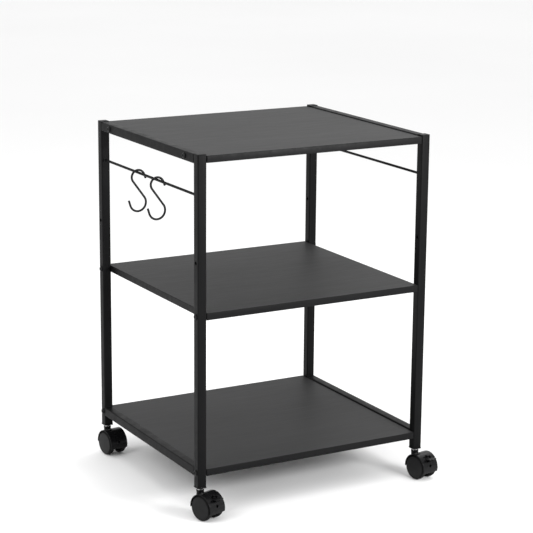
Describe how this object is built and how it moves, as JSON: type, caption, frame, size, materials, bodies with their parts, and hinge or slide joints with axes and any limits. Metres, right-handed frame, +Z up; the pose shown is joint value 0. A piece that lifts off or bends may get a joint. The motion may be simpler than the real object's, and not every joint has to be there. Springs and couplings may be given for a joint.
{
  "type": "mobile printer stand",
  "caption": "Wheeled printer stand: square steel tube side frames, flat boards bolted between them, side rods with hooks, and hooded twin-wheel casters.",
  "frame": {"origin": "on the floor, under the middle of the whole stand with its casters and hooks in their rest places", "axes": "+Z up; the front faces -Y, where the two casters with brake levers are; +X is to the right as seen from the front, and the hooks hang on the left (-X) rod"},
  "size_m": [0.4796, 0.4368, 0.622],
  "materials": {
    "powder_coat": "satin black powder coat",
    "board": "matt dark grey laminate with a faint grain over particle board",
    "cap_plastic": "black moulded plastic",
    "caster_plastic": "black moulded nylon, semi-gloss",
    "wheel_plastic": "black moulded nylon, semi-gloss",
    "bright_steel": "bright zinc plate",
    "black_steel": "black coated steel"
  },
  "bodies": {
    "frame": {"post_front_left": "powder_coat", "top_cap_front_left": "cap_plastic", "stem_insert_front_left": "cap_plastic", "caster_front_left_stem": "bright_steel", "post_front_right": "powder_coat", "top_cap_front_right": "cap_plastic", "stem_insert_front_right": "cap_plastic", "caster_front_right_stem": "bright_steel", "post_rear_left": "powder_coat", "top_cap_rear_left": "cap_plastic", "stem_insert_rear_left": "cap_plastic", "caster_rear_left_stem": "bright_steel", "post_rear_right": "powder_coat", "top_cap_rear_right": "cap_plastic", "stem_insert_rear_right": "cap_plastic", "caster_rear_right_stem": "bright_steel", "top_rail_left": "powder_coat", "bottom_rail_left": "powder_coat", "hanging_rod_left": "powder_coat", "top_rail_right": "powder_coat", "bottom_rail_right": "powder_coat", "hanging_rod_right": "powder_coat", "top_board": "board", "middle_board": "board", "bottom_board": "board", "top_board_bolt_front_left": "black_steel", "top_board_bolt_rear_left": "black_steel", "top_board_bolt_front_right": "black_steel", "top_board_bolt_rear_right": "black_steel", "middle_board_bolt_front_left": "black_steel", "middle_board_bolt_rear_left": "black_steel", "middle_board_bolt_front_right": "black_steel", "middle_board_bolt_rear_right": "black_steel", "bottom_board_bolt_front_left": "black_steel", "bottom_board_bolt_rear_left": "black_steel", "bottom_board_bolt_front_right": "black_steel", "bottom_board_bolt_rear_right": "black_steel"},
    "caster_front_left": {"caster_front_left_hood": "caster_plastic", "caster_front_left_axle": "bright_steel", "caster_front_left_brake_pin": "bright_steel"},
    "caster_front_left_wheel_left": {"caster_front_left_wheel_left": "wheel_plastic"},
    "caster_front_left_wheel_right": {"caster_front_left_wheel_right": "wheel_plastic"},
    "caster_front_left_brake_lever": {"caster_front_left_brake_lever": "caster_plastic"},
    "caster_front_right": {"caster_front_right_hood": "caster_plastic", "caster_front_right_axle": "bright_steel", "caster_front_right_brake_pin": "bright_steel"},
    "caster_front_right_wheel_left": {"caster_front_right_wheel_left": "wheel_plastic"},
    "caster_front_right_wheel_right": {"caster_front_right_wheel_right": "wheel_plastic"},
    "caster_front_right_brake_lever": {"caster_front_right_brake_lever": "caster_plastic"},
    "caster_rear_left": {"caster_rear_left_hood": "caster_plastic", "caster_rear_left_axle": "bright_steel"},
    "caster_rear_left_wheel_left": {"caster_rear_left_wheel_left": "wheel_plastic"},
    "caster_rear_left_wheel_right": {"caster_rear_left_wheel_right": "wheel_plastic"},
    "caster_rear_right": {"caster_rear_right_hood": "caster_plastic", "caster_rear_right_axle": "bright_steel"},
    "caster_rear_right_wheel_left": {"caster_rear_right_wheel_left": "wheel_plastic"},
    "caster_rear_right_wheel_right": {"caster_rear_right_wheel_right": "wheel_plastic"},
    "s_hook_rear": {"s_hook_rear": "black_steel"},
    "s_hook_front": {"s_hook_front": "black_steel"}
  },
  "joints": [
    {"name": "caster_front_left_swivel", "type": "hinge", "parent": "frame", "child": "caster_front_left", "pos_m": [-0.2199, -0.17056, 0.05], "axis": [0, 0, 1], "continuous": true},
    {"name": "caster_front_left_wheel_left_spin", "type": "hinge", "parent": "caster_front_left", "child": "caster_front_left_wheel_left", "pos_m": [-0.22698, -0.19154, 0.022], "axis": [0.9563, 0.2924, 0], "continuous": true},
    {"name": "caster_front_left_wheel_right_spin", "type": "hinge", "parent": "caster_front_left", "child": "caster_front_left_wheel_right", "pos_m": [-0.20231, -0.184, 0.022], "axis": [0.9563, 0.2924, 0], "continuous": true},
    {"name": "caster_front_left_brake_press", "type": "hinge", "parent": "caster_front_left", "child": "caster_front_left_brake_lever", "pos_m": [-0.21124, -0.1989, 0.03802], "axis": [0.9563, 0.2924, 0], "range_deg": [0, 14]},
    {"name": "caster_front_right_swivel", "type": "hinge", "parent": "frame", "child": "caster_front_right", "pos_m": [0.2141, -0.17056, 0.05], "axis": [0, 0, 1], "continuous": true},
    {"name": "caster_front_right_wheel_left_spin", "type": "hinge", "parent": "caster_front_right", "child": "caster_front_right_wheel_left", "pos_m": [0.20452, -0.19052, 0.022], "axis": [0.9848, 0.1736, 0], "continuous": true},
    {"name": "caster_front_right_wheel_right_spin", "type": "hinge", "parent": "caster_front_right", "child": "caster_front_right_wheel_right", "pos_m": [0.22993, -0.18604, 0.022], "axis": [0.9848, 0.1736, 0], "continuous": true},
    {"name": "caster_front_right_brake_press", "type": "hinge", "parent": "caster_front_right", "child": "caster_front_right_brake_lever", "pos_m": [0.21924, -0.19975, 0.03802], "axis": [0.9848, 0.1736, 0], "range_deg": [0, 14]},
    {"name": "caster_rear_left_swivel", "type": "hinge", "parent": "frame", "child": "caster_rear_left", "pos_m": [-0.2199, 0.20844, 0.05], "axis": [0, 0, 1], "continuous": true},
    {"name": "caster_rear_left_wheel_left_spin", "type": "hinge", "parent": "caster_rear_left", "child": "caster_rear_left_wheel_left", "pos_m": [-0.23051, 0.189, 0.022], "axis": [0.9925, 0.1219, 0], "continuous": true},
    {"name": "caster_rear_left_wheel_right_spin", "type": "hinge", "parent": "caster_rear_left", "child": "caster_rear_left_wheel_right", "pos_m": [-0.20491, 0.19215, 0.022], "axis": [0.9925, 0.1219, 0], "continuous": true},
    {"name": "caster_rear_right_swivel", "type": "hinge", "parent": "frame", "child": "caster_rear_right", "pos_m": [0.2141, 0.20844, 0.05], "axis": [0, 0, 1], "continuous": true},
    {"name": "caster_rear_right_wheel_left_spin", "type": "hinge", "parent": "caster_rear_right", "child": "caster_rear_right_wheel_left", "pos_m": [0.20522, 0.18815, 0.022], "axis": [0.9781, 0.2079, 0], "continuous": true},
    {"name": "caster_rear_right_wheel_right_spin", "type": "hinge", "parent": "caster_rear_right", "child": "caster_rear_right_wheel_right", "pos_m": [0.23046, 0.19352, 0.022], "axis": [0.9781, 0.2079, 0], "continuous": true},
    {"name": "s_hook_rear_swing", "type": "hinge", "parent": "frame", "child": "s_hook_rear", "pos_m": [-0.2199, 0.06494, 0.5515], "axis": [0, 1, 0], "range_deg": [-75, 75]},
    {"name": "s_hook_front_swing", "type": "hinge", "parent": "frame", "child": "s_hook_front", "pos_m": [-0.2199, -0.01106, 0.5515], "axis": [0, 1, 0], "range_deg": [-75, 75]}
  ]
}
